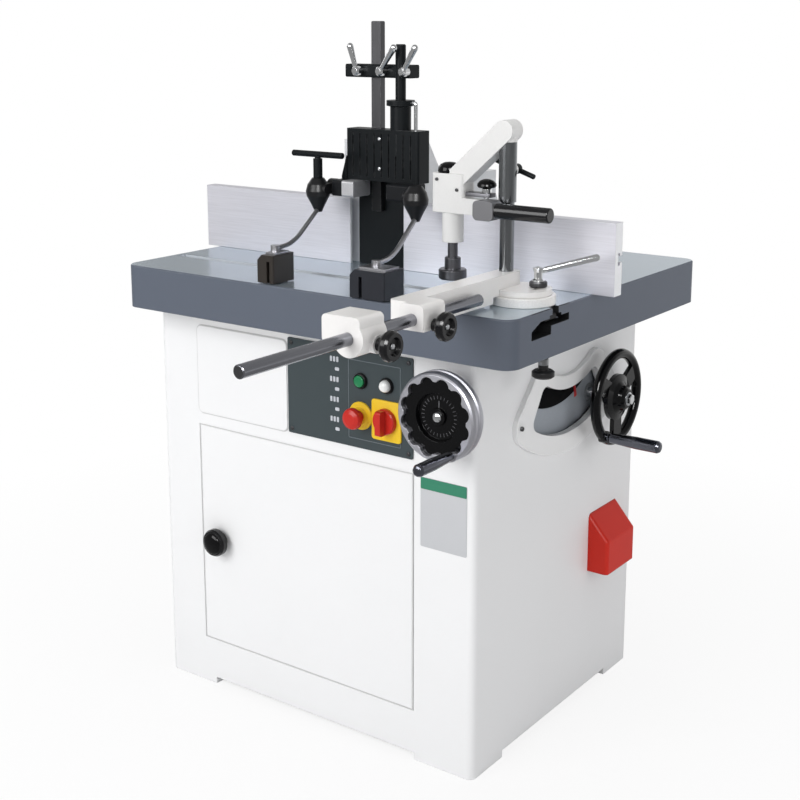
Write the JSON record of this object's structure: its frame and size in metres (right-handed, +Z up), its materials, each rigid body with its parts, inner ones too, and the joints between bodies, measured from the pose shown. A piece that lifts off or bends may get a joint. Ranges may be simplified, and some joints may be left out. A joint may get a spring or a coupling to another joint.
{
  "type": "spindle moulder",
  "caption": "Spindle moulder with a tilting, rising spindle in a sheet cabinet, a cast table with fences, a guard with sprung hold-downs, and a tenoning carriage with a clamp.",
  "frame": {"origin": "on the floor, under the centre of the cabinet's footprint and the pattern of its floor bolts", "axes": "+Z up; +X to the right of someone at the controls, towards the side handwheel; +Y away from them, towards the dust outlet"},
  "size_m": [0.9943, 1.287, 1.364],
  "materials": {
    "cabinet_paint": "semi-gloss white powder coat",
    "hinge_steel": "bright zinc",
    "panel_paint": "satin dark grey",
    "inlet_paint": "gloss red",
    "green_button": "gloss green",
    "red_button": "gloss red",
    "black_plastic": "fine-grained black",
    "table_iron": "ground top, grey painted sides",
    "ring_steel": "turned",
    "casting": "rough cast, painted grey",
    "steel": "ground and turned",
    "wheel_alloy": "turned and polished",
    "dark_chrome": "polished dark",
    "black_gloss": "gloss black",
    "motor_paint": "satin blue-grey",
    "pulley_alloy": "turned",
    "belt_rubber": "matt",
    "fence_alloy": "brushed lengthwise",
    "hood_paint": "light grey enamel",
    "guard_paint": "satin black",
    "bar_steel": "dark drawn steel",
    "mount_alloy": "sandblasted",
    "lever_chrome": "bright",
    "spring_steel": "drawn wire",
    "carriage_paint": "gloss white enamel"
  },
  "bodies": {
    "machine_frame": {"cabinet_shell": "cabinet_paint", "cabinet_back": "cabinet_paint", "upper_cover": "cabinet_paint", "control_panel": "panel_paint", "slot_bezel": "cabinet_paint", "inlet_hood": "inlet_paint", "door_hinges": "hinge_steel", "table": "table_iron", "table_ring": "ring_steel", "tilt_brackets": "casting", "cutter_hood": "hood_paint", "guard_mast": "guard_paint", "guide_bar": "bar_steel"},
    "door": {"door": "cabinet_paint"},
    "latch_knob": {"latch_knob": "black_plastic"},
    "start_button": {"start_button": "green_button"},
    "stop_button": {"stop_button": "red_button"},
    "main_switch": {"main_switch_knob": "red_button"},
    "tilt_wheel": {"tilt_handwheel": "wheel_alloy", "tilt_wheel_insert": "black_plastic", "tilt_shaft": "steel"},
    "tilt_grip": {"tilt_grip": "dark_chrome"},
    "cradle": {"cradle": "casting"},
    "spindle_carriage": {"quill": "steel", "motor_bracket": "casting", "motor": "motor_paint", "drive_belt": "belt_rubber"},
    "spindle": {"spindle": "steel", "spindle_pulley": "pulley_alloy", "arbor_collars": "steel"},
    "motor_rotor": {"motor_pulley": "pulley_alloy"},
    "rise_wheel": {"rise_shaft": "steel", "rise_handwheel": "black_gloss"},
    "rise_grip": {"rise_grip": "dark_chrome"},
    "fence_left": {"fence_left": "fence_alloy"},
    "fence_right": {"fence_right": "fence_alloy"},
    "guard_unit": {"guard_box": "guard_paint", "arm_mounts": "mount_alloy", "cross_bar": "guard_paint"},
    "lever_left": {"lever_left": "lever_chrome"},
    "lever_mid": {"lever_mid": "lever_chrome"},
    "lever_right": {"lever_right": "lever_chrome"},
    "holddown_left": {"holddown_left": "guard_paint", "spring_left": "spring_steel"},
    "t_handle_left": {"t_handle_left": "guard_paint"},
    "holddown_right": {"holddown_right": "guard_paint", "spring_right": "spring_steel"},
    "mitre_carriage": {"carriage_base": "carriage_paint"},
    "mitre": {"mitre_arm": "carriage_paint", "column": "steel"},
    "lock_lever": {"lock_lever": "lever_chrome"},
    "slide_bar": {"slide_bar": "steel"},
    "stop_block": {"stop_block": "carriage_paint"},
    "stop_knob": {"stop_knob": "black_plastic"},
    "arm_knob": {"arm_knob": "black_plastic"},
    "clamp_arm": {"clamp_arm": "carriage_paint"},
    "clamp_handle": {"clamp_handle": "dark_chrome"},
    "plunger": {"plunger": "steel"},
    "column_lever": {"column_lever": "guard_paint"},
    "slide_stop_knob": {"slide_stop_knob": "black_plastic"}
  },
  "joints": [
    {"name": "door_swing", "type": "hinge", "parent": "machine_frame", "child": "door", "pos_m": [0.241, -0.301, 0.332], "axis": [0, 0, 1], "range_deg": [0, 110]},
    {"name": "latch_turn", "type": "hinge", "parent": "door", "child": "latch_knob", "pos_m": [-0.23, -0.309, 0.325], "axis": [0, 1, 0], "range_deg": [0, 90]},
    {"name": "start_press", "type": "slide", "parent": "machine_frame", "child": "start_button", "axis": [0, 1, 0], "range_m": [0, 0.004], "stiffness_N_per_m": 300, "springref_m": -0.002},
    {"name": "stop_press", "type": "slide", "parent": "machine_frame", "child": "stop_button", "axis": [0, 1, 0], "range_m": [0, 0.005], "stiffness_N_per_m": 400, "springref_m": -0.003},
    {"name": "switch_turn", "type": "hinge", "parent": "machine_frame", "child": "main_switch", "pos_m": [0.195, -0.309, 0.654], "axis": [0, 1, 0], "range_deg": [0, 90]},
    {"name": "spindle_tilt", "type": "hinge", "parent": "machine_frame", "child": "cradle", "pos_m": [0.016, 0.009, 0.87], "axis": [-1, 0, 0], "range_deg": [0, 45]},
    {"name": "tilt_wheel_turn", "type": "hinge", "parent": "machine_frame", "child": "tilt_wheel", "pos_m": [0.348, -0.384, 0.7027], "axis": [0, -1, 0], "range_deg": [-5, 1805]},
    {"name": "tilt_grip_spin", "type": "hinge", "parent": "tilt_wheel", "child": "tilt_grip", "pos_m": [0.3825, -0.384, 0.64294], "axis": [0, -1, 0], "continuous": true},
    {"name": "spindle_rise", "type": "slide", "parent": "cradle", "child": "spindle_carriage", "axis": [0, 0, 1], "range_m": [0, 0.1]},
    {"name": "rise_wheel_turn", "type": "hinge", "parent": "cradle", "child": "rise_wheel", "pos_m": [0.436, 0.11915, 0.64113], "axis": [1, 0, 0], "range_deg": [-415, 5]},
    {"name": "rise_grip_spin", "type": "hinge", "parent": "rise_wheel", "child": "rise_grip", "pos_m": [0.436, 0.0662, 0.57336], "axis": [1, 0, 0], "continuous": true},
    {"name": "motor_spin", "type": "hinge", "parent": "spindle_carriage", "child": "motor_rotor", "pos_m": [0.016, 0.184, 0.58], "axis": [0, 0, 1], "continuous": true},
    {"name": "spindle_spin", "type": "hinge", "parent": "spindle_carriage", "child": "spindle", "pos_m": [0.016, 0.009, 0.58], "axis": [0, 0, 1], "continuous": true},
    {"name": "fence_left_slide", "type": "slide", "parent": "machine_frame", "child": "fence_left", "axis": [-1, 0, 0], "range_m": [0, 0.06]},
    {"name": "fence_right_slide", "type": "slide", "parent": "machine_frame", "child": "fence_right", "axis": [1, 0, 0], "range_m": [0, 0.06]},
    {"name": "guard_lift", "type": "slide", "parent": "machine_frame", "child": "guard_unit", "axis": [0, 0, 1], "range_m": [0, 0.07]},
    {"name": "lever_left_turn", "type": "hinge", "parent": "guard_unit", "child": "lever_left", "pos_m": [-0.008, -0.124, 1.2708], "axis": [0, 1, 0], "range_deg": [-40, 40]},
    {"name": "lever_mid_turn", "type": "hinge", "parent": "guard_unit", "child": "lever_mid", "pos_m": [0.0485, -0.124, 1.2708], "axis": [0, 1, 0], "range_deg": [-40, 20]},
    {"name": "lever_right_turn", "type": "hinge", "parent": "guard_unit", "child": "lever_right", "pos_m": [0.102, -0.124, 1.2708], "axis": [0, 1, 0], "range_deg": [-40, 40]},
    {"name": "holddown_left_lift", "type": "hinge", "parent": "guard_unit", "child": "holddown_left", "pos_m": [-0.0455, -0.15, 1.0473], "axis": [-1, 0, 0], "range_deg": [0, 24]},
    {"name": "holddown_right_lift", "type": "hinge", "parent": "guard_unit", "child": "holddown_right", "pos_m": [0.1375, -0.15, 1.0473], "axis": [-1, 0, 0], "range_deg": [0, 24]},
    {"name": "t_handle_turn", "type": "hinge", "parent": "holddown_left", "child": "t_handle_left", "pos_m": [-0.0705, -0.178, 1.0473], "axis": [0, 0, 1], "range_deg": [-60, 0]},
    {"name": "carriage_slide", "type": "slide", "parent": "machine_frame", "child": "mitre_carriage", "axis": [1, 0, 0], "range_m": [-0.06, 0.025]},
    {"name": "mitre_swivel", "type": "hinge", "parent": "mitre_carriage", "child": "mitre", "pos_m": [0.431, -0.238, 0.9063], "axis": [0, 0, 1], "range_deg": [-20, 45]},
    {"name": "lock_turn", "type": "hinge", "parent": "mitre_carriage", "child": "lock_lever", "pos_m": [0.451, -0.221, 0.9163], "axis": [0, 0, 1], "range_deg": [-60, 25]},
    {"name": "bar_slide", "type": "slide", "parent": "mitre", "child": "slide_bar", "axis": [0, 1, 0], "range_m": [-0.12, 0.03]},
    {"name": "stop_slide", "type": "slide", "parent": "slide_bar", "child": "stop_block", "axis": [0, 1, 0], "range_m": [-0.2, 0.04]},
    {"name": "stop_knob_turn", "type": "hinge", "parent": "stop_block", "child": "stop_knob", "pos_m": [0.455, -0.6812, 0.905], "axis": [1, 0, 0], "range_deg": [-90, 90]},
    {"name": "arm_knob_turn", "type": "hinge", "parent": "mitre", "child": "arm_knob", "pos_m": [0.447, -0.529, 0.905], "axis": [1, 0, 0], "range_deg": [-90, 90]},
    {"name": "clamp_swivel", "type": "hinge", "parent": "mitre", "child": "clamp_arm", "pos_m": [0.3925, -0.231, 1.2], "axis": [0, 0, 1], "range_deg": [-15, 45]},
    {"name": "clamp_handle_lift", "type": "hinge", "parent": "clamp_arm", "child": "clamp_handle", "pos_m": [0.368, -0.251, 1.048], "axis": [0, -1, 0], "range_deg": [0, 60]},
    {"name": "plunger_slide", "type": "slide", "parent": "clamp_arm", "child": "plunger", "axis": [0, 0, 1], "range_m": [0, 0.0125]},
    {"name": "column_lever_turn", "type": "hinge", "parent": "clamp_arm", "child": "column_lever", "pos_m": [0.3925, -0.2115, 1.114], "axis": [0, 1, 0], "range_deg": [-45, 45]},
    {"name": "stop_pull", "type": "slide", "parent": "machine_frame", "child": "slide_stop_knob", "axis": [0, 0, -1], "range_m": [0, 0.008], "stiffness_N_per_m": 600, "springref_m": -0.012}
  ],
  "couplings": [
    {"joint": "tilt_wheel_turn", "follows": "spindle_tilt", "ratio": 40},
    {"joint": "rise_wheel_turn", "follows": "spindle_rise", "rad_per_m": -71.429},
    {"joint": "spindle_spin", "follows": "motor_spin", "ratio": 1.4701},
    {"joint": "plunger_slide", "follows": "clamp_handle_lift", "m_per_rad": 0.01146}
  ]
}
